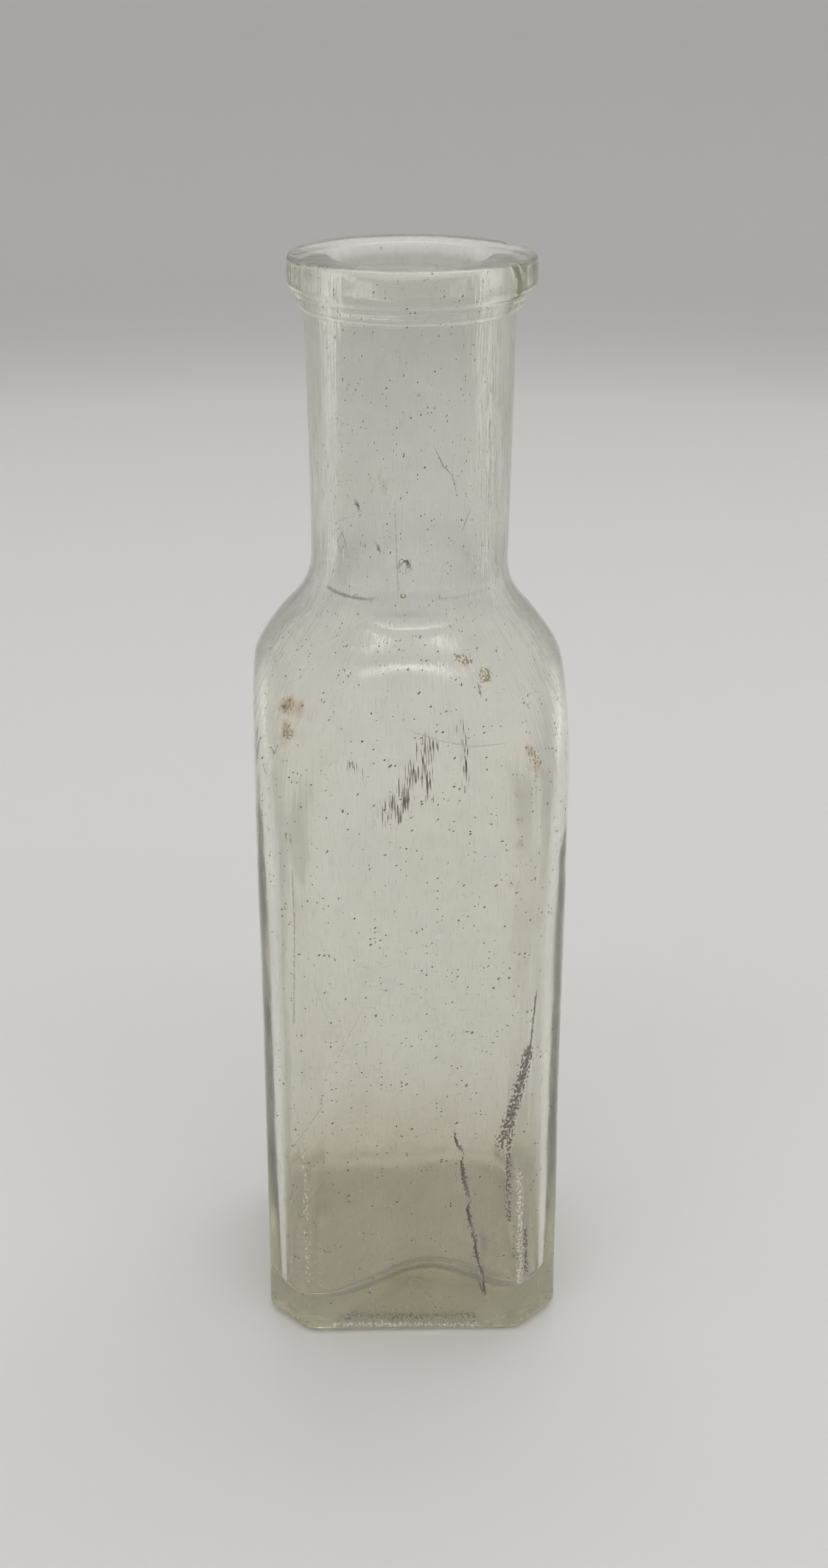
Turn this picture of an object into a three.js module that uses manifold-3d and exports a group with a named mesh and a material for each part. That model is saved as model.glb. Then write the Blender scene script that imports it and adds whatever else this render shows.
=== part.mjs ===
// A small square glass bottle with cut corners, a domed shoulder, a straight neck and a ring of
// glass laid round the neck's end as a lip. Millimetres, +Z up. The bottle stands on z = 0 and the
// origin is in the middle of its underside. One panel faces -Y.

import * as THREE from "three";
import { mergeVertices } from "three/addons/utils/BufferGeometryUtils.js";
import Module from "manifold-3d";

const wasm = await Module();
wasm.setup();

// Overall size
const BOTTLE_HEIGHT = 136.4;
const BODY_WIDTH = 38;

// Square body, outside
const CORNER_CUT = 5.2; // taken off each panel at a corner
const EDGE_SOFTENING = 1.1; // how far from a panel's edge the glass starts to turn
const HEEL_RADIUS = 1.6;

// Domed shoulder, outside: a quarter ellipse turned about the bottle's axis
const DOME_OFFSET = 1.2; // the ellipse's centre stands off the axis
const DOME_CENTRE_HEIGHT = 62.9;
const DOME_HALF_WIDTH = 24;
const DOME_HALF_HEIGHT = 38.5;
const DOME_START_ANGLE = 0.34; // outside the body's corners
const DOME_END_ANGLE = 0.99; // where the hollow curve into the neck begins

// Neck
const NECK_RADIUS_LOW = 11.9;
const NECK_RADIUS_HIGH = 12.2;
const NECK_WALL = 3.6;
const NECK_FOOT_HEIGHT = 101.4; // top of the hollow curve

// Lip: a ring round and over the neck's end
const LIP_RADIUS = 14.5;
const LIP_HEIGHT = 6.0; // top face down to where the ring's underside meets the neck
const LIP_BAND_HEIGHT = 4.1;
const LIP_OVER_NECK = 3.4; // thickness of lip glass above the neck's end
const LIP_FLAT_INNER_RADIUS = 9.4;
const LIP_FLAT_OUTER_RADIUS = 13.2;
const LIP_EDGE_ROUNDING = 1.3;

// Hollow inside. Under the neck the bore flares out, parallel to the outside of the shoulder, as
// far as the panels. The glass is thick in the base.
const PANEL_WALL = 2.2;
const INNER_CORNER_CUT = 3.6;
const INNER_EDGE_SOFTENING = 1.6;
const FLARE_TOP_HEIGHT = 102;
const FLARE_TOP_BEND = { radius: 8.8, height: 97.5 };
const FLARE_MIDDLE = { radius: 13.1, height: 93.2 };
const FLARE_FOOT_BEND = { radius: 22.4, height: 82.4 };
const FLARE_FOOT = { radius: 23.2, height: 62 }; // wider than the panels, which cut it off
const INNER_HEEL_RADIUS = 3.6;
const FLOOR_HEIGHT = 5.2; // lowest point of the hollow
const FLOOR_RISE = 2.6; // the floor swells up in the middle
const FLOOR_SWELL_RADIUS = 15.5;

// Underside: a shallow push-up inside a flat foot ring
const PUSH_UP_RADIUS = 13.5;
const PUSH_UP_DEPTH = 0.7;

// Facets
const ROUND_FACETS = 48;
const CURVE_STEPS = 4;
const BEVEL_STEPS = 4;

// Worked out from the above
const HALF_WIDTH = BODY_WIDTH / 2;
const NECK_TOP = BOTTLE_HEIGHT - LIP_OVER_NECK;
const LIP_FOOT = BOTTLE_HEIGHT - LIP_HEIGHT;
const BORE_RADIUS = NECK_RADIUS_HIGH - NECK_WALL;
const CLEAR_OF_GLASS = 5; // how far cutting shapes run past the glass

const GLASS = { color: 0xb9b6a4, roughness: 0.12, metalness: 0 };

// Solid of revolution about Z from an outline of (radius, height) points.
function turned(points) {
  return new THREE.LatheGeometry(points, ROUND_FACETS).rotateX(Math.PI / 2);
}

// A closed three.js geometry as a solid that can be joined and cut.
function solidFrom(geometry) {
  const bare = geometry.clone();
  bare.deleteAttribute("normal");
  bare.deleteAttribute("uv");
  const merged = mergeVertices(bare, 1e-4);
  const mesh = new wasm.Mesh({
    numProp: 3,
    vertProperties: merged.attributes.position.array,
    triVerts: new Uint32Array(merged.index.array),
  });
  return new wasm.Manifold(mesh);
}

function geometryFrom(solid) {
  const mesh = solid.getMesh();
  const geometry = new THREE.BufferGeometry();
  geometry.setAttribute("position", new THREE.BufferAttribute(mesh.vertProperties, 3));
  geometry.setIndex(new THREE.BufferAttribute(mesh.triVerts, 1));
  geometry.computeVertexNormals();
  return geometry;
}

function namedMesh(name, geometry, finish) {
  const mesh = new THREE.Mesh(geometry, new THREE.MeshStandardMaterial(finish));
  mesh.name = name;
  return mesh;
}

// Dome, hollow curve and neck in one outline, from the axis below to the axis above.
function shoulderAndNeck() {
  const endRadius = DOME_OFFSET + DOME_HALF_WIDTH * Math.cos(DOME_END_ANGLE);
  const endHeight = DOME_CENTRE_HEIGHT + DOME_HALF_HEIGHT * Math.sin(DOME_END_ANGLE);
  const risePerRun = DOME_HALF_HEIGHT / (DOME_HALF_WIDTH * Math.tan(DOME_END_ANGLE));
  const bendHeight = endHeight + (endRadius - NECK_RADIUS_LOW) * risePerRun;
  const startRadius = DOME_OFFSET + DOME_HALF_WIDTH * Math.cos(DOME_START_ANGLE);
  const outline = new THREE.Path();
  outline.moveTo(0, -CLEAR_OF_GLASS);
  outline.lineTo(startRadius, -CLEAR_OF_GLASS);
  outline.absellipse(
    DOME_OFFSET, DOME_CENTRE_HEIGHT, DOME_HALF_WIDTH, DOME_HALF_HEIGHT,
    DOME_START_ANGLE, DOME_END_ANGLE, false, 0,
  );
  outline.quadraticCurveTo(NECK_RADIUS_LOW, bendHeight, NECK_RADIUS_LOW, NECK_FOOT_HEIGHT);
  outline.lineTo(NECK_RADIUS_HIGH, LIP_FOOT);
  outline.lineTo(NECK_RADIUS_HIGH, NECK_TOP);
  outline.lineTo(0, NECK_TOP);
  return outline.getPoints(CURVE_STEPS);
}

// Bore, flare and a foot wider than the body's hollow, from the axis below to the axis above.
function boreAndFlare() {
  const { radius, height } = FLARE_FOOT;
  const top = NECK_TOP + CLEAR_OF_GLASS;
  const outline = new THREE.Path();
  outline.moveTo(0, 0);
  outline.lineTo(radius, 0);
  outline.lineTo(radius, height);
  outline.quadraticCurveTo(
    FLARE_FOOT_BEND.radius, FLARE_FOOT_BEND.height, FLARE_MIDDLE.radius, FLARE_MIDDLE.height,
  );
  outline.quadraticCurveTo(
    FLARE_TOP_BEND.radius, FLARE_TOP_BEND.height, BORE_RADIUS, FLARE_TOP_HEIGHT,
  );
  outline.lineTo(BORE_RADIUS, top);
  outline.lineTo(0, top);
  return outline.getPoints(CURVE_STEPS);
}

// Square with cut corners, each new edge softened by a short curve.
function cutSquare(half, cornerCut, softening) {
  const near = half - cornerCut;
  const diagonalStep = softening * Math.SQRT1_2;
  const section = new THREE.Shape();
  const corner = (x, y, quarter) => {
    const turn = (quarter * Math.PI) / 2;
    return new THREE.Vector2(x, y).rotateAround(new THREE.Vector2(), turn);
  };
  for (let quarter = 0; quarter < 4; quarter++) {
    const start = corner(half, near - softening, quarter);
    const firstBend = corner(half, near, quarter);
    const cutStart = corner(half - diagonalStep, near + diagonalStep, quarter);
    const cutEnd = corner(near + diagonalStep, half - diagonalStep, quarter);
    const lastBend = corner(near, half, quarter);
    const end = corner(near - softening, half, quarter);
    if (quarter === 0) {
      section.moveTo(start.x, start.y);
    } else {
      section.lineTo(start.x, start.y);
    }
    section.quadraticCurveTo(firstBend.x, firstBend.y, cutStart.x, cutStart.y);
    section.lineTo(cutEnd.x, cutEnd.y);
    section.quadraticCurveTo(lastBend.x, lastBend.y, end.x, end.y);
  }
  section.closePath();
  return section;
}

// Upright prism with a rounded lower edge, from the given height to above the neck.
function prism(section, bottom, edgeRadius, curveSegments) {
  const depth = BOTTLE_HEIGHT + CLEAR_OF_GLASS - bottom;
  const geometry = new THREE.ExtrudeGeometry(section, {
    depth,
    curveSegments,
    bevelEnabled: true,
    bevelThickness: edgeRadius,
    bevelSize: edgeRadius,
    bevelOffset: -edgeRadius,
    bevelSegments: BEVEL_STEPS,
  });
  return solidFrom(geometry.translate(0, 0, bottom + edgeRadius));
}

// Part of a ball whose cap stands the given rise above a plane at the given height.
function capAbove(height, capRadius, rise, depthBelow) {
  const ballRadius = (capRadius * capRadius + rise * rise) / (2 * rise);
  const centre = height + rise - ballRadius;
  const capAngle = Math.asin(capRadius / ballRadius);
  const outline = new THREE.Path();
  outline.moveTo(0, height - depthBelow);
  outline.lineTo(capRadius, height - depthBelow);
  outline.absarc(0, centre, ballRadius, Math.PI / 2 - capAngle, Math.PI / 2, false);
  return solidFrom(turned(outline.getPoints(CURVE_STEPS)));
}

function hollow() {
  const round = solidFrom(turned(boreAndFlare()));
  const section = cutSquare(HALF_WIDTH - PANEL_WALL, INNER_CORNER_CUT, INNER_EDGE_SOFTENING);
  const square = prism(section, FLOOR_HEIGHT, INNER_HEEL_RADIUS, 2);
  const floor = capAbove(FLOOR_HEIGHT, FLOOR_SWELL_RADIUS, FLOOR_RISE, CLEAR_OF_GLASS);
  return round.intersect(square).subtract(floor);
}

// Base, panels, shoulder and neck: one gather of glass, blown into a mould.
function blownBody() {
  const round = solidFrom(turned(shoulderAndNeck()));
  const square = prism(cutSquare(HALF_WIDTH, CORNER_CUT, EDGE_SOFTENING), 0, HEEL_RADIUS, 2);
  const pushUp = capAbove(0, PUSH_UP_RADIUS, PUSH_UP_DEPTH, CLEAR_OF_GLASS);
  const glass = round.intersect(square).subtract(hollow()).subtract(pushUp);
  return namedMesh("blown_body", geometryFrom(glass), GLASS);
}

// Ring of glass wound on round the neck's end, flush with the neck's bore.
function appliedLip() {
  const bandFoot = BOTTLE_HEIGHT - LIP_BAND_HEIGHT;
  const bandTop = BOTTLE_HEIGHT - LIP_EDGE_ROUNDING;
  const outline = new THREE.Path();
  outline.moveTo(BORE_RADIUS, NECK_TOP);
  outline.lineTo(BORE_RADIUS, bandTop);
  outline.quadraticCurveTo(BORE_RADIUS, BOTTLE_HEIGHT, LIP_FLAT_INNER_RADIUS, BOTTLE_HEIGHT);
  outline.lineTo(LIP_FLAT_OUTER_RADIUS, BOTTLE_HEIGHT);
  outline.quadraticCurveTo(LIP_RADIUS, BOTTLE_HEIGHT, LIP_RADIUS, bandTop);
  outline.lineTo(LIP_RADIUS, bandFoot + LIP_EDGE_ROUNDING / 2);
  outline.quadraticCurveTo(LIP_RADIUS, bandFoot, LIP_RADIUS - LIP_EDGE_ROUNDING / 2, bandFoot);
  outline.lineTo(NECK_RADIUS_HIGH, LIP_FOOT);
  outline.lineTo(NECK_RADIUS_HIGH, NECK_TOP);
  outline.lineTo(BORE_RADIUS, NECK_TOP);
  const points = outline.getPoints(CURVE_STEPS).reverse();
  return namedMesh("applied_lip", turned(points), GLASS);
}

const bottle = new THREE.Group();
bottle.add(blownBody(), appliedLip());

export default bottle;
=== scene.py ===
"""An old square glass bottle, empty and unlabelled, standing on a pale studio sweep.

The glass is one closed surface, outside and inside, drawn as rings round the bottle's axis.
Shape sizes are in millimetres and degrees, and turn into metres when the mesh is made."""

import math

import bpy
import numpy as np
from mathutils import Matrix, Vector


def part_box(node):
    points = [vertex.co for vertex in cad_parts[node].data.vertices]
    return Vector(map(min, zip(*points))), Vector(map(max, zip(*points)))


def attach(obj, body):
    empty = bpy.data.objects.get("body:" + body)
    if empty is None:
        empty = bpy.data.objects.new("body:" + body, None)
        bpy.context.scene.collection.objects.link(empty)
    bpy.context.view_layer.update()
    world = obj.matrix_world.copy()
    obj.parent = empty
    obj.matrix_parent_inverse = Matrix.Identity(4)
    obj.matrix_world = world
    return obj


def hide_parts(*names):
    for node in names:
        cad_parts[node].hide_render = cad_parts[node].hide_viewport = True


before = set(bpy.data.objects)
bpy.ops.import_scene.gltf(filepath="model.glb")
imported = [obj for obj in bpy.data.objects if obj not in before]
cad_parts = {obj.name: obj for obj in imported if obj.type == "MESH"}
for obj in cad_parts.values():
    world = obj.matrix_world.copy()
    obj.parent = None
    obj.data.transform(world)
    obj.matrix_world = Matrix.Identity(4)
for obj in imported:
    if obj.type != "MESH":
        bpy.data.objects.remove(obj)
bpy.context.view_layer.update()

MM = 0.001

# ---------------------------------------------------------------- sizes read from the frame, mm
body_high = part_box("blown_body")[1] / MM
lip_low, lip_high = (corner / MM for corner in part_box("applied_lip"))
HALF_WIDTH = body_high.x
HEIGHT = lip_high.z
LIP_FOOT = lip_low.z
LIP_RADIUS = lip_high.x

# ---------------------------------------------------------------- outside of the glass, mm
CORNER_CUT = 5.2
EDGE_SHARPNESS = 70  # of the upright edges at the foot; higher is crisper
EDGE_SHARPNESS_HIGH = 30  # further up, in front
EDGE_SHARPNESS_BACK = 20  # and behind
EDGE_SOFTENS_FROM, EDGE_SOFTENS_OVER = 2, 30  # where they start to soften, and over what height
HEEL_RADIUS = 1.6
PUSH_UP_RADIUS = 13.5
PUSH_UP_DEPTH = 0.7
DOME_OFFSET = 1.2
DOME_CENTRE_HEIGHT = 62.9
DOME_HALF_WIDTH = 24.0
DOME_HALF_HEIGHT = 38.5
DOME_END_HEIGHT = 95.1
DOME_SHARPNESS = 55  # of the edge where the dome meets a panel
NECK_FOOT_HEIGHT = 101.4
NECK_RADIUS_LOW = 11.87
NECK_RADIUS_HIGH = 12.2

OUTER_WAVE = 0.07  # unevenness of the blown surface
OUTER_WAVE_SINK = 1.6  # sets the waves inwards, so that few stand outside the plain shape
CALM_OVER_FOOT, CALM_UNDER_LIP = 8, 3  # the waves die out over these heights
SHOULDER_LEAN = 0.4  # the shoulder stands this far to the left of the body and the neck
SHOULDER_HEIGHT, SHOULDER_SPREAD = 92, 7  # middle of the part that leans, and its half height
# The broken fold at the foot of the neck: azimuths of its ends, height, rise at its ends, strength
CREASES = [
    (-149, -104, 98.7, 0.5, 1.0),
    (-40, -82, 98.9, 0.3, 0.55),
]
CREASE_DEPTH = 0.10
CREASE_HALF_WIDTH = 0.38
LIP_BAND_HEIGHT = 4.1
LIP_INSET = 0.35  # room for the lip's bulge inside its full radius
LIP_LAP = (-33, 28)  # azimuths between which the lip's end lies over its start
LIP_LAP_RISE = 0.32
# Chips out of the lip's upper edge: azimuth, half width in degrees, depth
LIP_CHIPS = [(29, 3.4, 0.9), (22, 2.2, 0.35), (-36, 1.6, 0.3), (-31, 1.4, 0.25)]

# ---------------------------------------------------------------- inside of the glass, mm
PANEL_WALL = 2.2
WALL_THINNING = 0.5  # the panels' walls lose this much towards the shoulder
THINS_FROM, THINS_OVER = 50, 30
INNER_CORNER_WALL = 1.98
INNER_WAVE = 0.1
INNER_SHARPNESS = 30  # of the hollow's upright edges at the foot, rounder than outside
INNER_SHARPNESS_HIGH = 20  # further up and behind
INNER_SOFTENS_FROM, INNER_SOFTENS_OVER = 8, 40
INNER_DOME_SHARPNESS = 40  # where the hollow's dome meets its panels
BORE_RADIUS = 8.6
# The hollow's turned outline, as a chain of curves from the bore to below the shoulder. Under
# the neck it flares out, parallel to the outside of the shoulder.
HOLLOW_OUTLINE = [
    (BORE_RADIUS, 134.0),
    (8.8, 118), (8.8, 104),
    (8.9, 97.5), (13.1, 93.2),
    (17.4, 88.6), (20.2, 80.2),
    (22.9, 71.9), (23.2, 62),
]
FLOOR_HEIGHT = 7.8  # in the middle
FLOOR_TURN = 4.6  # how far in from the wall the turn into the floor reaches
FLOOR_TURN_TOP = 14
FLOOR_CORNER_HEIGHT = 5.2
FLOOR_CORNER_RISE = 1.2  # the corner to the front and right stands this much higher
FLOOR_DROP = 2.0  # least depth of the turn into the floor
FLOOR_DROP_SHARE = 0.35  # the turn is deeper by this share of the edge's height over the corners
# Each hump of the floor's edge: the side it faces, the coordinate it runs along, rise, centre, width
FLOOR_HUMPS = [
    (-90, 0, 6.4, 2.3, 10.5),
    (90, 0, 2.6, 0.0, 30.0),
    (0, 1, 3.8, -1.0, 10.0),
    (180, 1, 4.0, 1.5, 9.5),
]

# ---------------------------------------------------------------- finish of the glass
GLASS_COLOR = (0.965, 0.952, 0.91)
# glass colour from the shoulder up, a little darker and greyer than below
NECK_COLOR = (0.945, 0.942, 0.927)
SEDIMENT_COLOR = (0.985, 0.92, 0.79)
STAIN_COLOR = (0.52, 0.40, 0.27)
CRUST_COLOR = (0.30, 0.27, 0.15)
DARK_MARK_COLOR = (0.075, 0.047, 0.018)
TINT_COLOR = (0.62, 0.62, 0.06)  # what thick glass lets through, so its edges look olive
TINT_DENSITY = 12.8
GLASS_IOR = 1.5
# Each layer of scratches: turn in degrees, length, width, share of cells marked
SCRATCHES = [
    (8, 1.9, 0.12, 0.09),
    (-17, 1.5, 0.12, 0.06),
    (54, 2.3, 0.11, 0.05),
]
# Gas bubbles in the glass: azimuth, height, distance from the axis, half size across and along
BUBBLES = [
    (-95, 99.2, 10.9, 0.36, 0.34),
    (-86, 122.6, 10.8, 0.12, 0.2),
    (-128, 107.0, 10.7, 0.11, 0.2),
    (-70, 95.6, 12.6, 0.13, 0.15),
    (-97, 62.0, 17.9, 0.10, 0.16),
    (-68, 24.0, 19.4, 0.12, 0.15),
    (-112, 5.0, 15.0, 0.14, 0.12),
    (20, 108.0, 10.8, 0.14, 0.25),
    (80, 40.0, 18.1, 0.16, 0.22),
    (150, 70.0, 20.4, 0.13, 0.2),
    (-20, 33.0, 19.2, 0.12, 0.18),
    (65, 4.5, 12.0, 0.2, 0.14),
    (120, 91.0, 14.0, 0.17, 0.2),
]
# How far a mark moves down for each mm that the surface lies behind the front panel
MARK_SLOPE = 0.40
# Marks on the front panel, each a chain of places (x, z) with a half width and a strength
SCUFFS = [
    ([(14.4, 43.0), (13.0, 36.5), (11.0, 29.4)], 1.4, 0.65),
    ([(11.2, 30.4), (10.7, 27.2)], 0.9, 0.68),
    ([(13.4, 38.0), (12.1, 30.0), (12.1, 23.5), (12.3, 17.5)], 0.8, 0.62),
    ([(7.0, 20.0), (8.0, 13.5), (9.5, 6.2)], 0.9, 0.64),
    ([(14.5, 16.3), (14.8, 8.6)], 0.55, 0.68),
    ([(-9.0, 2.8), (0.0, 2.4), (8.0, 2.6)], 1.0, 0.56),
]
# Long scratches and a few nicks: a chain of places like those above, half width and strength
LINES = [
    ([(15.1, 50.5), (14.5, 43.0), (13.6, 38.2)], 0.13, 0.85),
    ([(14.9, 46.0), (13.9, 40.5), (13.0, 36.0), (11.9, 30.0)], 0.10, 0.75),
    ([(5.2, 30.9), (6.1, 26.8), (6.5, 22.0), (7.6, 16.0), (8.4, 11.5), (9.5, 6.0)], 0.18, 0.95),
    ([(5.9, 29.7), (6.8, 26.5), (7.1, 22.0), (7.9, 17.0)], 0.10, 0.8),
    ([(7.8, 16.0), (8.9, 10.5), (9.7, 6.2)], 0.12, 0.85),
    ([(-14.3, 67.1), (-14.2, 61.0), (-14.6, 47.2)], 0.09, 0.6),
    ([(-15.6, 20.5), (-12.9, 25.6)], 0.08, 0.5),
    ([(-15.2, 18.4), (-11.6, 24.0)], 0.07, 0.45),
    ([(-15.4, 28.5), (-11.4, 35.0)], 0.08, 0.5),
    ([(-9.4, 42.0), (-6.6, 48.0)], 0.07, 0.4),
    ([(-8.0, 27.8), (1.6, 31.0)], 0.07, 0.45),
    ([(-2.4, 28.6), (-2.3, 31.8)], 0.06, 0.45),
    ([(0.2, 85.4), (3.6, 84.2), (7.0, 83.6), (10.2, 83.9)], 0.08, 0.45),
    ([(-11.8, 52.0), (-10.4, 47.6)], 0.06, 0.4),
    ([(-6.2, 113.5), (-6.1, 113.2)], 0.22, 0.95),
    ([(-3.9, 108.3), (-3.8, 108.1)], 0.20, 0.9),
    ([(-0.6, 106.5), (-0.3, 105.9)], 0.24, 0.95),
    ([(-1.9, 112.6), (-1.6, 102.9)], 0.08, 0.5),
    ([(-8.0, 110.4), (-7.4, 108.2)], 0.08, 0.65),
    ([(-8.6, 109.8), (-8.2, 108.0)], 0.07, 0.6),
    ([(2.8, 119.2), (3.6, 117.6)], 0.09, 0.7),
    ([(4.6, 116.6), (4.9, 115.4)], 0.09, 0.7),
    ([(6.7, 112.6), (5.9, 110.6)], 0.07, 0.6),
]
# Patches of fine upright scratches
HATCHES = [
    ([(1.8, 84.0), (-0.6, 78.6), (-3.6, 74.6)], 2.6, 0.46),
    ([(0.2, 80.6), (-1.9, 74.4)], 1.2, 0.60),
    ([(1.5, 84.5), (2.0, 77.0)], 1.1, 0.54),
    ([(5.5, 86.5), (6.4, 78.0)], 0.9, 0.56),
    ([(-7.4, 81.6), (-5.4, 79.4)], 1.3, 0.42),
]
# Crusts of dirt
CRUSTS = [
    ([(5.4, 94.5), (6.6, 94.3)], 1.1, 0.60),
    ([(8.4, 93.0), (8.6, 92.0)], 1.3, 0.60),
    ([(7.7, 90.8), (7.8, 90.0)], 0.8, 0.58),
    ([(-7.7, 93.3), (-7.4, 92.4)], 0.8, 0.55),
    ([(-14.4, 89.1), (-14.8, 88.4)], 1.3, 0.56),
    ([(-14.8, 86.1), (-14.4, 85.0)], 1.1, 0.58),
    ([(-16.0, 83.6), (-16.1, 83.0)], 0.7, 0.58),
    ([(13.5, 83.0), (14.6, 81.4)], 1.1, 0.52),
    ([(-15.0, 72.5), (-14.5, 71.8)], 1.2, 0.48),
    ([(3.0, 94.0), (3.6, 93.4)], 0.7, 0.52),
    ([(-11.1, 10.5), (-11.0, 10.2)], 0.5, 0.70),
]
# Brown stains
STAINS = [
    ([(-14.2, 89.0), (-13.0, 88.0)], 2.2, 0.75),
    ([(-14.6, 86.5), (-15.0, 84.5)], 1.8, 0.65),
    ([(13.6, 82.6), (14.6, 80.4)], 2.0, 0.62),
    ([(12.6, 79.0), (12.0, 66.0)], 2.0, 0.42),
    ([(8.0, 93.0), (6.0, 94.0)], 2.2, 0.5),
]
# Pale scraped bands, and along the front of the heel a pale band that is a painted highlight
PALE_SCRAPES_AND_HEEL_HIGHLIGHT = [
    ([(13.6, 25.0), (13.9, 8.0)], 1.0, 0.56),
    ([(-13.8, 30.0), (-13.6, 8.0)], 0.8, 0.46),
    # painted highlight: a pale band along the front of the heel
    ([(-10.7, 1.6), (8.9, 1.2)], 0.6, 0.60),
]
NECK_STAIN = (-108, 113.2, 9, 2.6)  # azimuth, height, half width in degrees, half height

# ---------------------------------------------------------------- stage, metres
SWEEP_FLAT = 0.54  # radius of the flat table
SWEEP_BEND = 0.12  # radius of the bend up into the wall
SWEEP_TOP = 0.75
SWEEP_GAP = 0.0001  # keeps the table clear of the glass
WALL_STARTS, WALL_REACHED = 0.52, 0.62  # distance from the bottle over which the painted shade of the wall sets in
WALL_EDGE, WALL_FULL = 0.5, 0.94  # cosine, from straight behind, over which the wall's painted shade comes in
GLOW_STARTS, GLOW_REACHED = 0.5, 0.6  # distance over which the rest of the wall starts to glow
PAPER_ROUGHNESS = 0.9
TABLE_COLOR = (0.80, 0.795, 0.785)
# grey of the wall behind the bottle: a painted shade for the lower light that the upright wall gets
WALL_SHADE_COLOR = (0.555, 0.552, 0.545)
SIDE_GLOW = 0.27  # light given off by the paper at the sides, like a lit tent
ROOM_COLOR = (1.0, 1.0, 0.99)
ROOM_STRENGTH = 0.33
LIGHT_AIM = (0, 0, 0.07)
# Each light: name, azimuth (0 is the camera's side), elevation, distance, size, power in watts
LIGHTS = [
    ("softbox", 165, 64, 0.8, (0.6, 0.45), 1.25),
    ("strip_high", 0, 67, 0.75, (0.9, 0.03), 0.5),
    ("strip_low", 0, 53, 0.75, (0.9, 0.03), 0.5),
]
CAMERA_PLACE = (0.48, -233.5, 173.1)  # mm, before the yaw
CAMERA_YAW = -1.08
CAMERA_DOWN = 23.695  # tilt below the level
CAMERA_LENS, CAMERA_SENSOR = 46.39, 36  # mm

# ---------------------------------------------------------------- mesh density
POINTS_PER_RING = 256
POINTS_BY_EDGE = 16  # in the ten degrees round each upright edge
POINTS_ON_CUT = 4  # from there to the middle of the cut corner
OUTLINE_STEPS = 12  # in each curve of the hollow's outline
LIP_STEPS = 5
BUBBLE_STEPS = 8
# Stretches of the two walls: height at the end of each, and how many rings it has
OUTER_STRETCHES = [(76, 74), (97, 33), (100, 12), (LIP_FOOT, 25)]
INNER_STRETCHES = [(98, 17), (76, 35), (FLOOR_TURN_TOP, 31)]
BORE_TOP = HEIGHT - 2.6  # where the lip's outline ends and the inner wall begins


def smooth_least(a, b, sharpness):
    """The smaller of two radii, rounded off where they cross."""
    return (a**-sharpness + b**-sharpness) ** (-1 / sharpness)


def ease(t):
    t = np.clip(t, 0, 1)
    return t * t * (3 - 2 * t)


def bump(x, centre, width):
    return np.exp(-(((x - centre) / width) ** 2))


def angle_gap(a, b):
    """Signed difference of two angles in degrees, from -180 to 180."""
    return (a - b + 180) % 360 - 180


class Waves:
    """Smooth, repeatable unevenness: a sum of sine waves with random directions."""

    def __init__(self, seed, wavelength, count=7):
        random = np.random.default_rng(seed)
        directions = random.normal(size=(count, 3))
        directions /= np.linalg.norm(directions, axis=1)[:, None]
        stretch = random.uniform(0.7, 1.4, (count, 1))
        self.wave = 2 * np.pi * directions * stretch / np.array(wavelength)
        self.phase = random.uniform(0, 2 * np.pi, count)

    def at(self, x, y, z):
        total = 0
        for wave, phase in zip(self.wave, self.phase):
            total = total + np.sin(wave[0] * x + wave[1] * y + wave[2] * z + phase)
        return total / math.sqrt(len(self.phase))


def turn_angles():
    """Angles round the axis, in degrees, closer together at the body's upright edges."""
    edge = math.degrees(math.atan((HALF_WIDTH - CORNER_CUT) / HALF_WIDTH))
    on_panel = POINTS_PER_RING // 8 - POINTS_BY_EDGE - POINTS_ON_CUT
    half = np.concatenate([
        np.linspace(0, edge - 5, on_panel, endpoint=False),
        np.linspace(edge - 5, edge + 5, POINTS_BY_EDGE, endpoint=False),
        np.linspace(edge + 5, 45, POINTS_ON_CUT, endpoint=False),
    ])
    face = np.concatenate([half, 90 - half[1:][::-1], [45]])
    face = np.sort(face)
    return np.concatenate([face + 90 * quarter for quarter in range(4)])


PHI = turn_angles()
COS, SIN = np.cos(np.radians(PHI)), np.sin(np.radians(PHI))


def cut_square_section(half, diagonal, sharpness):
    """Radius, at every angle, of a square with its corners cut off."""
    total = 0
    for side in range(8):
        distance = half if side % 2 == 0 else diagonal
        facing = np.cos(np.radians(PHI - 45 * side))
        total = total + (np.maximum(facing, 1e-3) / distance) ** sharpness
    return total ** (-1 / sharpness)


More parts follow.
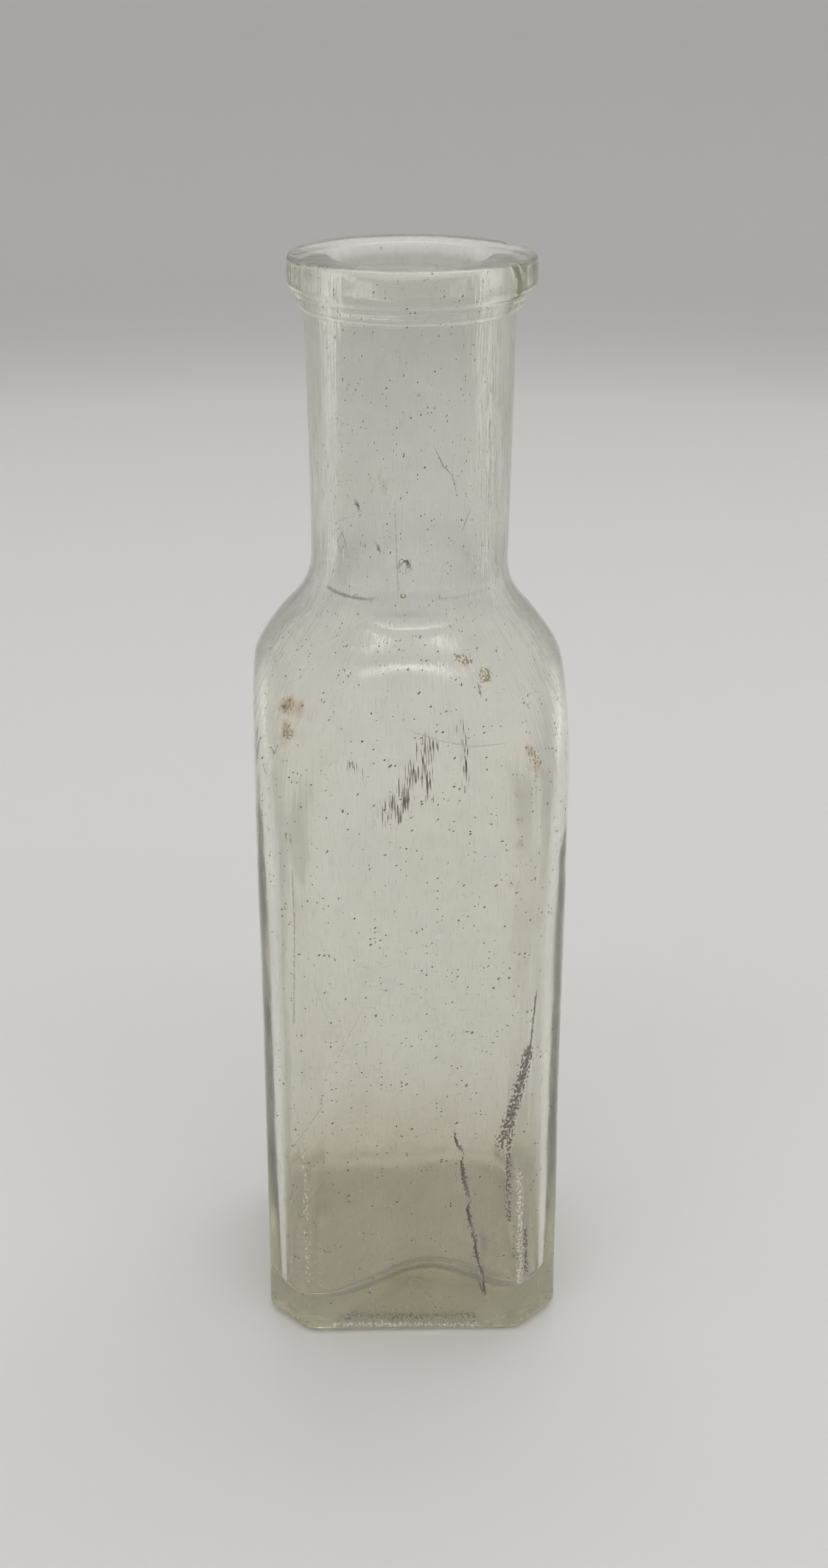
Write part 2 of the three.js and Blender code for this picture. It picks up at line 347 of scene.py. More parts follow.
def dome_radius(z):
    """Radius of the turned shoulder and neck at heights z."""
    up = np.clip((z - DOME_CENTRE_HEIGHT) / DOME_HALF_HEIGHT, 0, 0.9999)
    dome = DOME_OFFSET + DOME_HALF_WIDTH * np.sqrt(1 - up**2)
    end_up = (DOME_END_HEIGHT - DOME_CENTRE_HEIGHT) / DOME_HALF_HEIGHT
    end_height = DOME_CENTRE_HEIGHT + DOME_HALF_HEIGHT * end_up
    end_radius = DOME_OFFSET + DOME_HALF_WIDTH * math.sqrt(1 - end_up**2)
    run_per_rise = DOME_HALF_WIDTH * end_up / (DOME_HALF_HEIGHT * math.sqrt(1 - end_up**2))
    bend_height = end_height + (end_radius - NECK_RADIUS_LOW) / run_per_rise
    t = np.clip((z - end_height) / (NECK_FOOT_HEIGHT - end_height), 0, 1)
    # Quadratic Bezier from the dome's end, through the bend, to the neck's foot.
    a = NECK_FOOT_HEIGHT - 2 * bend_height + end_height
    b = 2 * (bend_height - end_height)
    height = t * (NECK_FOOT_HEIGHT - end_height)
    t = height / b if abs(a) < 1e-6 else (-b + np.sqrt(b * b + 4 * a * height)) / (2 * a)
    bend_weight = 2 * t * (1 - t)
    fillet = (1 - t) ** 2 * end_radius + bend_weight * NECK_RADIUS_LOW + t**2 * NECK_RADIUS_LOW
    rise = np.clip((z - NECK_FOOT_HEIGHT) / (LIP_FOOT - NECK_FOOT_HEIGHT), 0, 1)
    neck = NECK_RADIUS_LOW + (NECK_RADIUS_HIGH - NECK_RADIUS_LOW) * rise
    return np.where(z < end_height, dome, np.where(z < NECK_FOOT_HEIGHT, fillet, neck))


def bezier(points, steps):
    """Points of a chain of quadratic curves: start, bend, end, bend, end and so on."""
    out = [points[0]]
    for start, bend, end in zip(points[:-2:2], points[1:-1:2], points[2::2]):
        for step in range(1, steps + 1):
            t = step / steps
            weights = (1 - t) ** 2, 2 * t * (1 - t), t * t
            out.append(tuple(
                weights[0] * start[i] + weights[1] * bend[i] + weights[2] * end[i] for i in (0, 1)
            ))
    return out


class Rings:
    """Collects rings of the surface, from the middle of the underside to the middle of the floor."""

    def __init__(self):
        self.radius = []
        self.height = []
        self.inside = []

    def add(self, radius, height, inside):
        flat = np.zeros(len(PHI))
        self.radius.append(radius + flat)
        self.height.append(height + flat)
        self.inside.append(float(inside))


outer_waves = Waves(3, (24, 24, 34))
lip_waves = Waves(8, (26, 26, 26))
inner_waves = Waves(5, (17, 17, 22))


def outer_radius(z, inset=0.0):
    half = HALF_WIDTH - inset
    diagonal = (2 * HALF_WIDTH - CORNER_CUT) / math.sqrt(2) - inset
    soft = EDGE_SHARPNESS_HIGH + (EDGE_SHARPNESS_BACK - EDGE_SHARPNESS_HIGH) * ease(SIN + 0.5)
    softened = ease((z - EDGE_SOFTENS_FROM) / EDGE_SOFTENS_OVER)
    sharpness = EDGE_SHARPNESS + (soft - EDGE_SHARPNESS) * softened
    prism = cut_square_section(half, diagonal, sharpness)
    dome = dome_radius(np.full(len(PHI), z))
    radius = prism if z < DOME_CENTRE_HEIGHT else smooth_least(prism, dome, DOME_SHARPNESS)
    calm = ease(z / CALM_OVER_FOOT) * ease((LIP_FOOT - z) / CALM_UNDER_LIP)
    wave = OUTER_WAVE * calm * (outer_waves.at(COS * 18, SIN * 18, z) - OUTER_WAVE_SINK)
    return radius + wave - CREASE_DEPTH * crease(PHI, z)


def crease(azimuth, z):
    """Strength, from 0 to 1, of the broken fold that runs round the foot of the neck."""
    total = 0
    for start, end, low, rise, strength in CREASES:
        share = angle_gap(azimuth, start) / angle_gap(end, start)
        height = low + rise * (2 * share - 1) ** 2
        ends = ease(share / 0.15) * ease((1 - share) / 0.25)
        total = total + strength * ends * np.clip(1 - np.abs(z - height) / CREASE_HALF_WIDTH, 0, 1)
    return total


HOLLOW_POINTS = bezier(HOLLOW_OUTLINE, OUTLINE_STEPS)[::-1]
HOLLOW_RADII, HOLLOW_HEIGHTS = (np.array(values) for values in zip(*HOLLOW_POINTS))


def inner_radius(z):
    wall = PANEL_WALL - WALL_THINNING * ease((z - THINS_FROM) / THINS_OVER)
    wave = INNER_WAVE * inner_waves.at(COS * 16, SIN * 16, z)
    half = HALF_WIDTH - wall + wave
    diagonal = (2 * HALF_WIDTH - CORNER_CUT) / math.sqrt(2) - INNER_CORNER_WALL + wave
    high = ease((z - INNER_SOFTENS_FROM) / INNER_SOFTENS_OVER)
    soft = np.maximum(high, ease(SIN + 0.5))
    sharpness = INNER_SHARPNESS + (INNER_SHARPNESS_HIGH - INNER_SHARPNESS) * soft
    prism = cut_square_section(half, diagonal, sharpness)
    turned = np.interp(z, HOLLOW_HEIGHTS, HOLLOW_RADII)
    return smooth_least(prism, turned + 0 * prism, INNER_DOME_SHARPNESS)


def underside(rings):
    foot = outer_radius(0, HEEL_RADIUS)
    for share in np.linspace(0, 1, 15):
        radius = foot * share
        dome = 1 - (np.minimum(radius, PUSH_UP_RADIUS) / PUSH_UP_RADIUS) ** 2
        rings.add(radius, PUSH_UP_DEPTH * dome * dome, False)


def heel(rings):
    for angle in np.linspace(0, math.pi / 2, 9)[1:]:
        inset = HEEL_RADIUS * (1 - math.sin(angle))
        z = HEEL_RADIUS * (1 - math.cos(angle))
        rings.add(outer_radius(z, inset), z, False)


def ring_heights(start, stretches):
    """Heights through the given stretches, evenly spaced within each, without the start."""
    heights = []
    for end, count in stretches:
        heights += list(np.linspace(start, end, count + 1)[1:])
        start = end
    return heights


def outer_wall(rings):
    for z in ring_heights(HEEL_RADIUS, OUTER_STRETCHES)[:-1]:
        rings.add(outer_radius(z), z, False)


def lip_swell():
    """How far the lip bulges, at every angle: its end was lapped over its start on the right."""
    lap_start, lap_end = LIP_LAP
    start = ease((angle_gap(PHI, lap_start) + 3) / 6)
    end = ease((angle_gap(lap_end, PHI) + 4) / 8)
    slow = 0.12 * lip_waves.at(COS * 14, SIN * 14, 0.0)
    return LIP_LAP_RISE * start * end + slow


def lip(rings):
    """The band and the top of the lip, a small ring under it, and the turn down into the bore."""
    top, edge, neck = HEIGHT, LIP_RADIUS - LIP_INSET, NECK_RADIUS_HIGH
    band_foot = top - LIP_BAND_HEIGHT
    outline = bezier([
        (neck, LIP_FOOT - 0.5),
        (neck + 0.02, LIP_FOOT - 0.1), (neck + 0.4, LIP_FOOT + 0.1),
        (neck + 0.75, LIP_FOOT + 0.3), (neck + 0.85, LIP_FOOT + 0.9),
        (neck + 0.95, band_foot - 0.35), (edge - 0.75, band_foot - 0.05),
        (edge - 0.1, band_foot + 0.3), (edge, band_foot + 1.1),
        (edge + 0.04, top - 2.0), (edge - 0.05, top - 0.75),
        (edge - 0.08, top - 0.22), (edge - 0.6, top - 0.08),
        (edge - 1.1, top), (edge - 2.2, top - 0.05),
        (BORE_RADIUS + 1.2, top - 0.12), (BORE_RADIUS + 0.5, top - 0.35),
        (BORE_RADIUS + 0.05, top - 0.6), (BORE_RADIUS, BORE_TOP),
    ], LIP_STEPS)
    swell = lip_swell()
    for radius, z in outline:
        share = ease((radius - neck) / 1.5)
        chip = 0
        for azimuth, half_turn, depth in LIP_CHIPS:
            chip = chip + depth * bump(angle_gap(PHI, azimuth), 0, half_turn)
        chip = chip * ease((z - top + 1.7) / 1.2) * share
        is_inside = radius < edge - 2.5 and z > band_foot
        rings.add(radius + share * swell - chip, z - 0.5 * chip, is_inside)


def inner_wall(rings):
    for z in ring_heights(BORE_TOP, INNER_STRETCHES):
        rings.add(inner_radius(z), z, True)


def floor_edge():
    """Height, at every angle, where the hollow's wall starts to turn into its floor.

    It stands high along the middle of each panel, most of all in front, and dips into the corners."""
    height = FLOOR_CORNER_HEIGHT + FLOOR_CORNER_RISE * bump(angle_gap(PHI, -45), 0, 45)
    along = np.array([COS, SIN, -COS, -SIN]) * (HALF_WIDTH / np.maximum(np.abs(COS), np.abs(SIN)))
    for facing, place, rise, centre, width in FLOOR_HUMPS:
        near = ease((90 - np.abs(angle_gap(PHI, facing))) / 40)
        height = height + near * rise * bump(along[place], centre, width)
    return height


def floor(rings):
    """The hollow's floor, with a wide turn up into the walls."""
    top = floor_edge()
    wall = inner_radius(FLOOR_TURN_TOP)
    rings.add(wall, top, True)
    drop = FLOOR_DROP + FLOOR_DROP_SHARE * (top - FLOOR_CORNER_HEIGHT)
    for angle in np.linspace(0, math.pi / 2, 17)[1:]:
        radius = wall - FLOOR_TURN * (1 - math.cos(angle))
        z = top - drop * math.sin(angle)
        rings.add(radius, z, True)
    edge = wall - FLOOR_TURN
    for share in np.linspace(1, 0, 14)[1:]:
        height = (top - drop) * share**2 + FLOOR_HEIGHT * (1 - share**2)
        rings.add(edge * share, height, True)


def chain_mask(x, z, chain, half_width, strength):
    """Falls from the strength, on a chain of straight pieces, to 0 at its half width."""
    nearest = np.full(x.shape, np.inf)
    for (x0, z0), (x1, z1) in zip(chain[:-1], chain[1:]):
        dx, dz = x1 - x0, z1 - z0
        t = np.clip(((x - x0) * dx + (z - z0) * dz) / (dx * dx + dz * dz), 0, 1)
        nearest = np.minimum(nearest, np.hypot(x - x0 - t * dx, z - z0 - t * dz))
    return strength * np.clip(1.25 - nearest / half_width, 0, 1)


def painted(x, y, z, inside, marks):
    """The strongest of the given marks at every point, on the outside of the front only.

    The marks' places are in the plane of the front panel. Where the surface falls back from it,
    at the shoulder, they go on to the surface along a line that slopes down."""
    panel_z = z + (y + HALF_WIDTH) * MARK_SLOPE
    total = np.zeros(x.shape)
    for chain, half_width, strength in marks:
        total = np.maximum(total, chain_mask(x, panel_z, chain, half_width, strength))
    return np.where((y < 0) & (inside < 0.5), total, 0)


def scratch_lines(x, y, z, inside):
    """Distance from the nearest long scratch, in its half widths, and that scratch's strength.

    The distance has a sign, so that it stays exact between points. The strength dies out past
    the scratch's ends and on the rest of the glass."""
    panel_z = z + (y + HALF_WIDTH) * MARK_SLOPE
    nearest = np.full(x.shape, 3.0)
    widths = np.full(x.shape, 9.0)
    strengths = np.zeros(x.shape)
    for chain, half_width, strength in LINES:
        for (x0, z0), (x1, z1) in zip(chain[:-1], chain[1:]):
            size = math.hypot(x1 - x0, z1 - z0)
            ux, uz = (x1 - x0) / size, (z1 - z0) / size
            onward = (x - x0) * ux + (panel_z - z0) * uz
            aside = (x - x0) * uz - (panel_z - z0) * ux
            past = np.maximum(np.maximum(-onward, onward - size), 0)
            closer = np.hypot(aside, past) < nearest
            nearest = np.where(closer, np.hypot(aside, past), nearest)
            widths = np.where(closer, aside / half_width, widths)
            strengths = np.where(closer, strength * ease(1 - past / 0.9), strengths)
    return widths, np.where((y < 0) & (inside < 0.5), strengths, 0)


def surface_fields(x, y, z, inside):
    """Values painted on the glass's points, which say where its finish changes."""
    azimuth = np.degrees(np.arctan2(y, x))
    radius = np.hypot(x, y)
    outside = 1 - inside
    neck = ease((z - 98) / 4) * ease((132 - z) / 3)
    stain = painted(x, y, z, inside, STAINS)
    side, height, half_turn, half_height = NECK_STAIN
    spot = bump(angle_gap(azimuth, side), 0, half_turn) * bump(z, height, half_height)
    line_widths, line_strength = scratch_lines(x, y, z, inside)
    on_right = 0.35 + 0.65 * bump(angle_gap(azimuth, -12), 0, 42)
    on_panel = ease((31 - np.abs(angle_gap(azimuth, 90 * np.round(azimuth / 90)))) / 6)
    return {
        "inside": inside,
        "underneath": outside * ease((HEEL_RADIUS * 0.6 - z) / 0.5) * (radius < 18),
        "wear": on_panel * (0.75 * ease((z - 22) / 12) * ease((66 - z) / 10) - 0.1) - 0.2,
        "streaky": neck * on_right + 0.5 * ease((z - 70) / 20) * (1 - neck),
        "sediment": inside * ease((17 - z) / 8),
        "scuff": painted(x, y, z, inside, SCUFFS),
        "hatch": painted(x, y, z, inside, HATCHES),
        "crust": painted(x, y, z, inside, CRUSTS),
        "scrape_and_heel_highlight": painted(x, y, z, inside, PALE_SCRAPES_AND_HEEL_HIGHLIGHT),
        "stain": np.maximum(stain, 0.6 * spot * neck * outside),
        "crease": outside * crease(azimuth, z),
        "neck": ease((z - 82) / 14),
        "lip": ease((z - LIP_FOOT) / 0.8),
        "shoulder": outside * bump(z, 91.5, 6),
        "line": line_widths,
        "line_strength": line_strength,
        "level": ease((radius - 1) / 9),
        "frosted": 0.3 * inside * ease((z - 122) / 10) + ease((z - HEIGHT + 0.6) / 0.5),
    }


def distance_round():
    """Distance round the body's section, in mm, at every angle, with the full turn at the end."""
    radius = outer_radius(40.0)
    x, y = radius * COS, radius * SIN
    steps = np.hypot(np.roll(x, -1) - x, np.roll(y, -1) - y)
    return np.concatenate([[0.0], np.cumsum(steps)])


def distance_along(radius, height):
    """Distance along the profile, in mm, at every ring, taken where the section is narrowest."""
    r, z = radius.min(axis=1), height.mean(axis=1)
    return np.concatenate([[0.0], np.cumsum(np.hypot(np.diff(r), np.diff(z)))])


def ring_faces(count, turn):
    """Quads between neighbouring rings, then a fan of triangles at each pole."""
    here = np.arange(turn)
    beside = (here + 1) % turn
    lows = np.arange(count - 1)[:, None] * turn
    quads = np.stack([lows + here, lows + beside, lows + turn + beside, lows + turn + here], -1)
    first_pole, last_pole = count * turn, count * turn + 1
    last_ring = (count - 1) * turn
    fans = [(first_pole, b, a) for a, b in zip(here, beside)]
    fans += [(last_pole, last_ring + a, last_ring + b) for a, b in zip(here, beside)]
    return quads.reshape(-1, 4), fans


def bubble_shape(azimuth, height, distance, across, along):
    """Points and faces of a small gas bubble. Its faces turn in, away from the glass round it."""
    steps, turn = BUBBLE_STEPS, math.radians(azimuth)
    middle = np.array([distance * math.cos(turn), distance * math.sin(turn), height])
    points, faces = [(0, 0, -along), (0, 0, along)], []
    for ring in range(1, steps):
        tilt = math.pi * ring / steps
        for step in range(2 * steps):
            angle = math.pi * step / steps
            reach = across * math.sin(tilt)
            points.append((reach * math.cos(angle), reach * math.sin(angle), -along * math.cos(tilt)))
    around = 2 * steps
    for step in range(around):
        here, beside = 2 + step, 2 + (step + 1) % around
        top = (steps - 2) * around
        faces.append((0, here, beside))
        faces.append((1, top + beside, top + here))
        for ring in range(steps - 2):
            low, high = ring * around, (ring + 1) * around
            faces.append((low + here, high + here, high + beside, low + beside))
    return np.array(points) + middle, faces


def glass_points(radius, height):
    """Every ring's points but the first's and the last's, then one pole for each of those two."""
    x = radius * COS - SHOULDER_LEAN * bump(height, SHOULDER_HEIGHT, SHOULDER_SPREAD)
    x, y = (np.clip(place, -HALF_WIDTH, HALF_WIDTH) for place in (x, radius * SIN))
    points = np.stack([x, y, height], axis=-1)[1:-1].reshape(-1, 3)
    poles = np.array([[0, 0, height[0, 0]], [0, 0, height[-1, 0]]])
    return np.concatenate([points, poles])


def corner_distances(ring_count):
    """Distance round the section at every corner of every face made by ring_faces, in its order."""
    edges = distance_round()
    quad_round = np.stack([edges[:-1], edges[1:], edges[1:], edges[:-1]], -1)
    fan_round = np.stack([edges[:-1], edges[1:], edges[:-1]], -1)
    return np.concatenate([
        np.tile(quad_round, (ring_count - 1, 1)).ravel(), fan_round.ravel(), fan_round.ravel()
    ])


def store(mesh, name, domain, values, padding=0.0):
    """Paints values on the mesh. The padding goes on what is left over, which is the bubbles."""
    layer = mesh.attributes.new(name, "FLOAT", domain)
    padded = np.full(len(layer.data), padding)
    padded[: len(values)] = values
    layer.data.foreach_set("value", padded.astype(np.float32))


def glass_mesh():
    rings = Rings()
    for section in (underside, heel, outer_wall, lip, inner_wall, floor):
        section(rings)
    radius, height = np.array(rings.radius), np.array(rings.height)
    along = distance_along(radius, height)
    turn, count = len(PHI), len(rings.radius) - 2
    points = glass_points(radius, height)
    quads, fans = ring_faces(count, turn)
    inside = np.concatenate([np.repeat(rings.inside[1:-1], turn), [0.0, 1.0]])
    fields = surface_fields(*points.T, inside)
    fields["along"] = np.concatenate([np.repeat(along[1:-1], turn), along[[0, -1]]])
    faces = quads.tolist() + [tuple(map(int, fan)) for fan in fans]
    for bubble in BUBBLES:
        bubble_points, bubble_faces = bubble_shape(*bubble)
        faces += [tuple(len(points) + i for i in face) for face in bubble_faces]
        points = np.concatenate([points, bubble_points])
    mesh = bpy.data.meshes.new("bottle_glass")
    mesh.from_pydata((points * MM).tolist(), [], faces)
    mesh.shade_smooth()
    for name, values in fields.items():
        store(mesh, name, "POINT", values, 1.0 if name == "inside" else 0.0)
    store(mesh, "around", "CORNER", corner_distances(count))
    return mesh


class Graph:
    """Builds the nodes of one material. Every method returns an output socket."""

    def __init__(self, name):
        self.material = bpy.data.materials.new(name)
        self.material.use_nodes = True
        self.tree = self.material.node_tree
        self.shader = self.tree.nodes["Principled BSDF"]

    def put(self, socket, value):
        """Links a socket, or sets a plain number or colour on it."""
        if isinstance(value, bpy.types.NodeSocket):
            self.tree.links.new(value, socket)
        elif isinstance(value, (tuple, list)) and len(value) == 3 and socket.type == "RGBA":
            socket.default_value = (*value, 1)
        else:
            socket.default_value = value

    def set(self, name, value):
        self.put(self.shader.inputs[name], value)

    def node(self, kind, **settings):
        node = self.tree.nodes.new(kind)
        for name, value in settings.items():
            setattr(node, name, value)
        return node

    def place(self):
        return self.node("ShaderNodeTexCoord").outputs["Object"]

    def mapped(self, vector, across, along, turn=0):
        """Coordinates for a flat pattern with cells of the given size, turned by some degrees."""
        node = self.node("ShaderNodeMapping", vector_type="TEXTURE")
        self.put(node.inputs["Vector"], vector)
        node.inputs["Scale"].default_value = (across, along, 1)
        node.inputs["Rotation"].default_value = (0, 0, math.radians(turn))
        return node.outputs["Vector"]

    def length(self, vector):
        node = self.node("ShaderNodeVectorMath", operation="LENGTH")
        self.put(node.inputs[0], vector)
        return node.outputs["Value"]

    def math(self, operation, a, b=0.0):
        node = self.node("ShaderNodeMath", operation=operation)
        self.put(node.inputs[0], a)
        self.put(node.inputs[1], b)
        return node.outputs["Value"]

    def ramp(self, value, low, high, start=0.0, end=1.0):
        """Smooth step from start to end while the value goes from low to high."""
        node = self.node("ShaderNodeMapRange", interpolation_type="SMOOTHSTEP")
        for name, entry in zip(("Value", "From Min", "From Max", "To Min", "To Max"),
                               (value, low, high, start, end)):
            self.put(node.inputs[name], entry)
        return node.outputs["Result"]

    def mix_color(self, factor, a, b):
        node = self.node("ShaderNodeMix", data_type="RGBA")
        self.put(node.inputs[0], factor)
        self.put(node.inputs[6], a)
        self.put(node.inputs[7], b)
        return node.outputs[2]

    def plus_vector(self, vector, amount):
        """The vector with the same amount added to each of its parts."""
        node = self.node("ShaderNodeVectorMath", operation="ADD")
        self.put(node.inputs[0], vector)
        self.put(node.inputs[1], amount)
        return node.outputs["Vector"]

    def noise(self, vector, detail=1.0):
        node = self.node("ShaderNodeTexNoise", noise_dimensions="2D")
        self.put(node.inputs["Vector"], vector)
        node.inputs["Scale"].default_value = 1.0
        node.inputs["Detail"].default_value = detail
        return node.outputs["Fac"]

    def marks(self, vector, share, size, soft=0.35):
        """One mark in a share of the cells of a random pattern, with a random size up to the
        given part of a cell. In stretched coordinates the marks are scratches, otherwise dots."""
        node = self.node("ShaderNodeTexVoronoi", voronoi_dimensions="2D")
        self.put(node.inputs["Vector"], vector)
        node.inputs["Scale"].default_value = 1.0
        split = self.node("ShaderNodeSeparateColor")
        self.put(split.inputs[0], node.outputs["Color"])
        radius = self.ramp(split.outputs[0], 1 - share, 1, 0, size)
        depth = self.math("SUBTRACT", radius, node.outputs["Distance"])
        return self.ramp(depth, 0, size * soft)

    def field(self, name):
        """A value painted on the mesh's points."""
        node = self.node("ShaderNodeAttribute", attribute_name=name)
        return node.outputs["Fac"]

    def most(self, *values):
        total = values[0]
        for value in values[1:]:
            total = self.math("MAXIMUM", total, value)
        return total

    def times(self, *values):
        total = values[0]
        for value in values[1:]:
            total = self.math("MULTIPLY", total, value)
        return total

    def plus(self, *values):
        total = values[0]
        for value in values[1:]:
            total = self.math("ADD", total, value)
        return total


class OldGlass(Graph):
    """Old clear glass: straw tinted in its depth, hazed by film, scratched, specked and stained."""

    def __init__(self):
        super().__init__("old_glass")
        combine = self.node("ShaderNodeCombineXYZ")
        self.put(combine.inputs["X"], self.field("around"))
        self.put(combine.inputs["Y"], self.field("along"))
        self.flat = combine.outputs["Vector"]  # the surface unrolled, in mm
        self.inside = self.field("inside")
        self.on_outside = self.inverse(self.inside)
        self.underneath = self.field("underneath")
        self.sediment = self.field("sediment")
        self.frosted = self.field("frosted")
        self.cloud = self.pattern(11, 15, 2)
        self.patch = self.pattern(1.9, 2.3, 3)
        self.speckle = self.pattern(0.34, 0.42, 2)
        self.drawn = self.pattern(0.55, 14)
        self.swell = self.pattern(3.2, 6.5)
        self.hairs = self.pattern(0.15, 2.4)

    def pattern(self, across, along, detail=1.0):
        """Noise with patches of the given size in mm."""
        return self.noise(self.mapped(self.flat, across, along), detail)

    def inverse(self, value):
        return self.math("SUBTRACT", 1.0, value)

    def broken_up(self, grain, name, low, high):
        """A painted field whose soft edge is made crisp and ragged by a finer pattern."""
        return self.ramp(self.plus(grain, self.field(name)), low, high)

    def fine_scratches(self):
        """Short random scratches, where the glass is worn."""
        worn = self.ramp(self.plus(self.patch, self.field("wear")), 0.5, 0.85)
        layers = []
        for turn, long, thin, share in SCRATCHES:
            bent = self.plus_vector(self.flat, self.times(self.cloud, 3.5))
            layers.append(self.marks(self.mapped(bent, long, thin, turn), share, 0.4))
        return self.times(self.most(*layers), worn)

    def specks(self):
        """Random dots of dirt, in patches."""
        shaken = self.plus_vector(self.flat, self.times(self.speckle, 0.5))
        dots = self.marks(self.mapped(shaken, 0.62, 0.56), 0.55, 0.28, 0.5)
        return self.times(dots, self.ramp(self.patch, 0.49, 0.57))

    def long_scratches(self):
        """The scratches drawn one by one, with uneven edges."""
        uneven = self.times(self.math("SUBTRACT", self.speckle, 0.5), 3.0)
        distance = self.plus(self.math("ABSOLUTE", self.field("line")), uneven)
        return self.times(self.ramp(distance, 1.1, 0.6), self.field("line_strength"))

    def dark_marks(self):
        """Everything that is filled with grime, and a darkening along the fold at the foot of the
        neck.
        """
        return self.most(
            self.long_scratches(),
            self.times(self.broken_up(self.speckle, "scuff", 0.98, 1.16), 0.9),
            self.times(self.broken_up(self.hairs, "hatch", 0.94, 1.14), 0.92),
            # darker along the fold at the foot of the neck
            self.times(self.broken_up(self.hairs, "crease", 0.6, 1.35), 0.75),
            self.times(self.specks(), self.on_outside, 0.95),
            self.times(self.fine_scratches(), self.on_outside, 0.42),
        )

    def film(self):
        """Share of the glass that haze covers, so that it is no longer clear."""
        frosting = self.ramp(self.patch, 0.3, 0.7, 0.1, 0.24)
        # pale scraped bands, and the painted highlight along the front of the heel
        scrape_and_heel_highlight = self.broken_up(self.speckle, "scrape_and_heel_highlight", 0.94, 1.2)
        return self.plus(
            self.ramp(self.cloud, 0.3, 0.7, 0.0, 0.055),
            self.times(self.sediment, 0.2),
            self.times(self.underneath, 0.4),
            self.times(self.frosted, frosting),
            self.times(self.drawn, 0.03),
            self.times(scrape_and_heel_highlight, 0.45),
        )

    def color(self, stain, crust, dark):
        color = self.mix_color(self.field("neck"), GLASS_COLOR, NECK_COLOR)
        color = self.mix_color(self.sediment, color, SEDIMENT_COLOR)
        color = self.mix_color(stain, color, STAIN_COLOR)
        color = self.mix_color(crust, color, CRUST_COLOR)
        return self.mix_color(dark, color, DARK_MARK_COLOR)

    def roughness(self, solid):
        return self.plus(
            self.ramp(self.cloud, 0.3, 0.7, 0.04, 0.09),
            self.times(self.inside, 0.08),
            self.times(self.frosted, 0.07),
            self.times(self.underneath, 0.4),
            self.times(solid, 0.12),
        )

    def relief(self):
        """Height, in mm, of the blown waves and of the lines drawn along the neck and shoulder."""
        waviness = self.plus(self.times(self.field("lip"), 0.06), 0.05)
        streaky = self.plus(self.times(self.field("streaky"), 0.04), 0.006)
        height = self.plus(
            self.times(self.swell, waviness),
            self.times(self.drawn, streaky),
            self.times(self.hairs, self.field("shoulder"), 0.016),
        )
        return self.times(height, self.field("level"))


def glass_material():
    glass = OldGlass()
    dark = glass.dark_marks()
    crust = glass.broken_up(glass.speckle, "crust", 0.98, 1.08)
    stain = glass.broken_up(glass.patch, "stain", 0.85, 1.4)
    solid = glass.most(dark, glass.times(crust, 0.85), glass.times(stain, 0.35))
    clear = glass.times(glass.inverse(glass.film()), glass.inverse(solid))
    glass.set("Base Color", glass.color(stain, crust, dark))
    glass.set("Transmission Weight", clear)
    glass.set("IOR", GLASS_IOR)
    glass.set("Roughness", glass.roughness(solid))

    bump = glass.node("ShaderNodeBump")
    bump.inputs["Strength"].default_value = 1.0
    bump.inputs["Distance"].default_value = MM
    glass.put(bump.inputs["Height"], glass.relief())
    glass.set("Normal", bump.outputs["Normal"])

    volume = glass.node("ShaderNodeVolumeAbsorption")
    volume.inputs["Color"].default_value = (*TINT_COLOR, 1)
    volume.inputs["Density"].default_value = TINT_DENSITY
    output = glass.tree.nodes["Material Output"]
    glass.tree.links.new(volume.outputs["Volume"], output.inputs["Volume"])
    return glass.material


def build_bottle():
    bottle = bpy.data.objects.new("bottle_glass", glass_mesh())
    bpy.context.scene.collection.objects.link(bottle)
    bottle.data.materials.append(glass_material())
    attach(bottle, "root")
    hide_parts("blown_body", "applied_lip")


def sweep_material():
    """Pale paper, painted grey as shade where it climbs into the wall behind the bottle; the rest of
    the wall glows.
    """
    graph = Graph("sweep_paper")
    place = graph.place()
    away = graph.length(place)
    split = graph.node("ShaderNodeSeparateXYZ")
    graph.put(split.inputs[0], place)
    behind = graph.ramp(graph.math("DIVIDE", split.outputs["Y"], away), WALL_EDGE, WALL_FULL)
    # painted shade: the paper turns grey towards the wall behind the bottle
    painted_wall_shade = graph.times(graph.ramp(away, WALL_STARTS, WALL_REACHED), behind)
    glow = graph.ramp(away, GLOW_STARTS, GLOW_REACHED)
    lit = graph.times(glow, graph.math("SUBTRACT", 1.0, behind))
    graph.set("Base Color", graph.mix_color(painted_wall_shade, TABLE_COLOR, WALL_SHADE_COLOR))
    graph.set("Emission Strength", graph.times(lit, SIDE_GLOW))
    graph.set("Emission Color", TABLE_COLOR)
    graph.set("Roughness", PAPER_ROUGHNESS)
    return graph.material


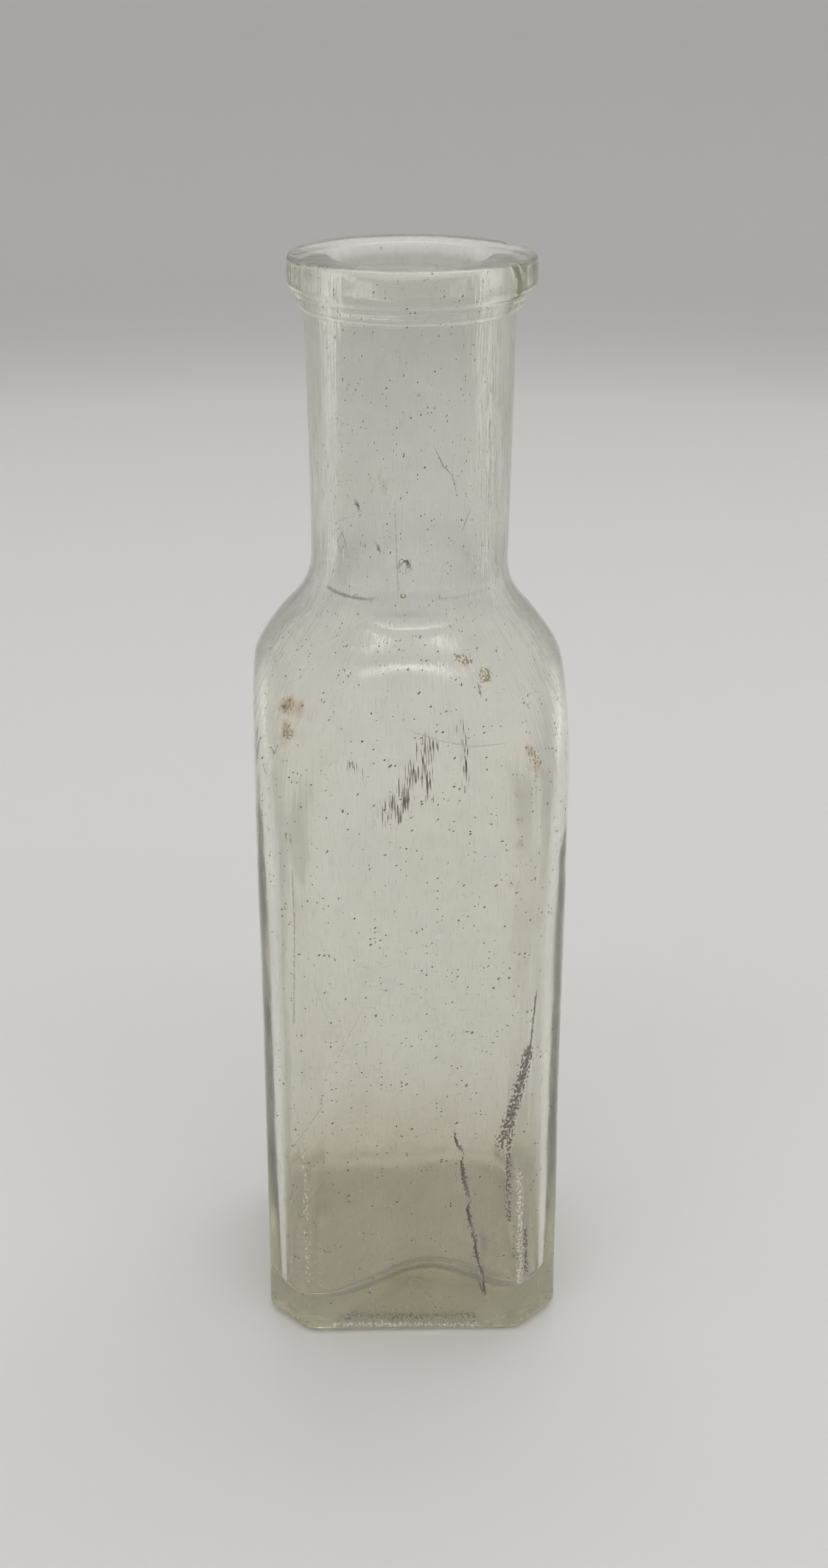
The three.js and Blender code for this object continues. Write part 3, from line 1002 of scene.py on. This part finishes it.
def build_sweep():
    """A pale table that curves up into a wall, the same all the way round."""
    flat, bend, top = SWEEP_FLAT, SWEEP_BEND, SWEEP_TOP
    profile = [(flat * step / 30, 0.0) for step in range(1, 31)]
    for step in range(1, 17):
        angle = math.pi / 2 * step / 16
        profile.append((flat + bend * math.sin(angle), bend * (1 - math.cos(angle))))
    profile.append((flat + bend, top))
    turn = 96
    points = [(0, 0, 0)]
    for radius, z in profile:
        for step in range(turn):
            angle = 2 * math.pi * step / turn
            points.append((radius * math.cos(angle), radius * math.sin(angle), z))
    faces = [(0, 1 + a, 1 + (a + 1) % turn) for a in range(turn)]
    for ring in range(len(profile) - 1):
        low, high = 1 + ring * turn, 1 + (ring + 1) * turn
        faces += [
            (low + a, high + a, high + (a + 1) % turn, low + (a + 1) % turn) for a in range(turn)
        ]
    mesh = bpy.data.meshes.new("sweep")
    mesh.from_pydata(points, [], faces)
    mesh.shade_smooth()
    sweep = bpy.data.objects.new("sweep", mesh)
    sweep.location.z = -SWEEP_GAP
    bpy.context.scene.collection.objects.link(sweep)
    mesh.materials.append(sweep_material())


def area_light(name, azimuth, elevation, distance, size, power):
    """A rectangular soft light above the bottle. Azimuth 0 is the camera's side."""
    data = bpy.data.lights.new(name, "AREA")
    data.shape = "RECTANGLE"
    data.size, data.size_y = size
    data.energy = power
    light = bpy.data.objects.new(name, data)
    a, e = math.radians(azimuth), math.radians(elevation)
    toward = Vector((math.sin(a) * math.cos(e), -math.cos(a) * math.cos(e), math.sin(e)))
    light.location = Vector(LIGHT_AIM) + toward * distance
    light.rotation_mode = "QUATERNION"
    light.rotation_quaternion = (-toward).to_track_quat("-Z", "Y")
    bpy.context.scene.collection.objects.link(light)


def build_lights():
    world = bpy.data.worlds.new("soft_room")
    bpy.context.scene.world = world
    world.use_nodes = True
    background = world.node_tree.nodes["Background"]
    background.inputs["Color"].default_value = (*ROOM_COLOR, 1)
    background.inputs["Strength"].default_value = ROOM_STRENGTH
    for light in LIGHTS:
        area_light(*light)


def build_camera():
    """The camera stands close in front, above the bottle, and looks down at it."""
    scene = bpy.context.scene
    data = bpy.data.cameras.new("camera")
    data.sensor_width = CAMERA_SENSOR
    data.lens = CAMERA_LENS
    camera = bpy.data.objects.new("camera", data)
    yaw = math.radians(CAMERA_YAW)
    camera.location = Matrix.Rotation(yaw, 4, "Z") @ Vector(CAMERA_PLACE) * MM
    camera.rotation_euler = (math.radians(90 - CAMERA_DOWN), 0, yaw)
    data.clip_start, data.clip_end = 0.01, 10
    scene.collection.objects.link(camera)
    scene.camera = camera


def render_settings():
    scene = bpy.context.scene
    scene.view_settings.view_transform = "Standard"
    scene.cycles.max_bounces = 30
    scene.cycles.transmission_bounces = 28
    scene.cycles.glossy_bounces = 8
    scene.cycles.transparent_max_bounces = 16
    scene.cycles.caustics_reflective = True
    scene.cycles.caustics_refractive = True
    scene.cycles.blur_glossy = 0.3


build_camera()
build_lights()
build_sweep()
build_bottle()
render_settings()
